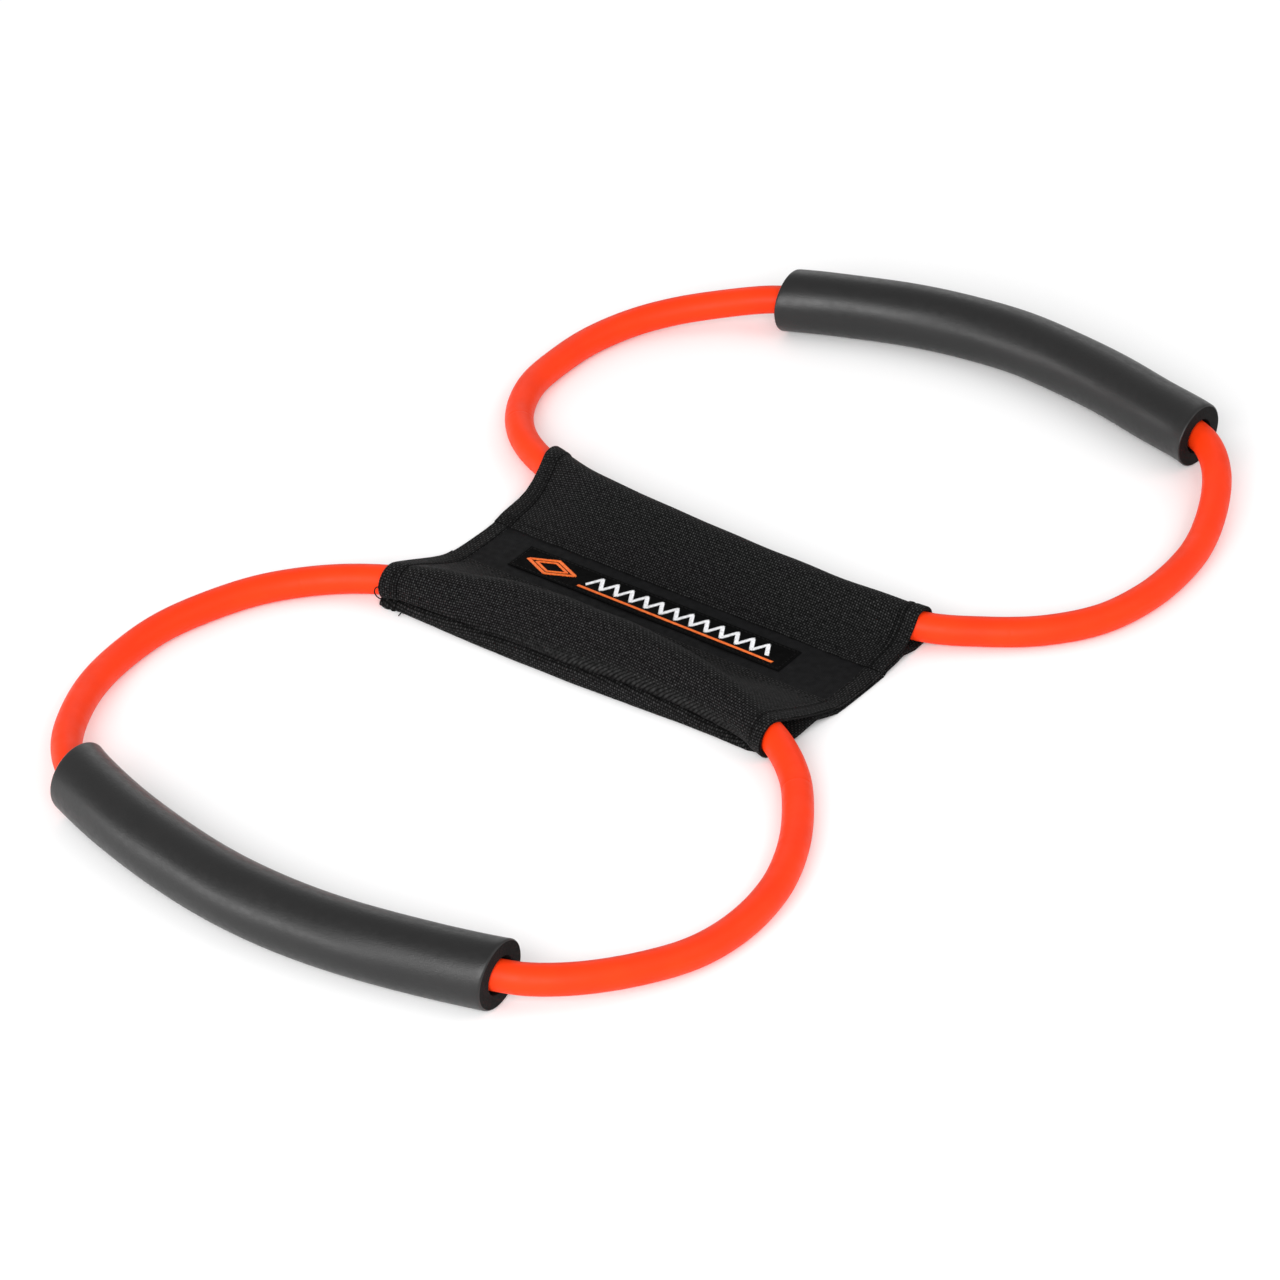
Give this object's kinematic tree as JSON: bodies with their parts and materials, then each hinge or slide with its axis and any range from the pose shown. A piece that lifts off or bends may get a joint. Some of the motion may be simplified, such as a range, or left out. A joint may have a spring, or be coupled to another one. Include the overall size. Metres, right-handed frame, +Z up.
{
  "type": "resistance band",
  "caption": "Figure-eight resistance band: cloth panel with a tube loop and foam grip on each side.",
  "frame": {"origin": "middle of the bounding box at the surface that the band lies on, under the cloth panel", "axes": "+X along the sleeves, +Y from the near loop to the far loop, +Z up from the surface it lies on"},
  "size_m": [0.2944, 0.4862, 0.0255],
  "materials": {
    "tube_rubber": "smooth satin rubber",
    "grip_foam": "closed-cell foam with a satin skin and matt cut ends",
    "woven_cloth": "coarse plain weave",
    "centre_cloth": "finely ribbed weave",
    "label_cloth": "smooth satin weave",
    "black_thread": "twisted polyester thread",
    "orange_thread": "satin-stitched embroidery",
    "white_thread": "satin-stitched embroidery",
    "plug_plastic": "moulded nylon"
  },
  "bodies": {
    "panel": {"backing_cloth": "woven_cloth", "centre_band": "centre_cloth", "left_hem": "woven_cloth", "right_hem": "woven_cloth", "near_sleeve": "woven_cloth", "far_sleeve": "woven_cloth", "left_hem_thread": "black_thread", "right_hem_thread": "black_thread", "near_inner_seam_thread": "black_thread", "far_inner_seam_thread": "black_thread", "near_outer_seam_thread": "black_thread", "far_outer_seam_thread": "black_thread", "label": "label_cloth", "label_thread": "black_thread", "label_diamond": "orange_thread", "label_underline": "orange_thread", "label_zigzag": "white_thread"},
    "near_loop": {"near_tube": "tube_rubber"},
    "near_joint": {"near_plug": "plug_plastic"},
    "near_foam": {"near_grip": "grip_foam"},
    "far_loop": {"far_tube": "tube_rubber"},
    "far_joint": {"far_plug": "plug_plastic"},
    "far_foam": {"far_grip": "grip_foam"}
  },
  "joints": [
    {"name": "near_loop_fold", "type": "hinge", "parent": "panel", "child": "near_loop", "pos_m": [0, -0.0435, 0.008], "axis": [-1, 0, 0], "range_deg": [0, 90], "deforming": ["near_tube"]},
    {"name": "near_tube_stretch", "type": "slide", "parent": "near_loop", "child": "near_joint", "axis": [0, -1, 0], "range_m": [0, 0.2], "stiffness_N_per_m": 150, "deforming": ["near_tube"]},
    {"name": "near_grip_slip", "type": "hinge", "parent": "near_joint", "child": "near_foam", "pos_m": [0.0007, 0.0083, 0.01275], "axis": [0, 0, 1], "range_deg": [-2.5, 2.5]},
    {"name": "far_loop_fold", "type": "hinge", "parent": "panel", "child": "far_loop", "pos_m": [-0.0035, 0.051, 0.008], "axis": [0.9981, -0.0613, 0], "range_deg": [0, 90], "deforming": ["far_tube"]},
    {"name": "far_tube_stretch", "type": "slide", "parent": "far_loop", "child": "far_joint", "axis": [0.0613, 0.9981, 0], "range_m": [0, 0.2], "stiffness_N_per_m": 150, "deforming": ["far_tube"]},
    {"name": "far_grip_slip", "type": "hinge", "parent": "far_joint", "child": "far_foam", "pos_m": [0.0185, 0.0268, 0.01275], "axis": [0, 0, 1], "range_deg": [-2.5, 2.5]}
  ]
}
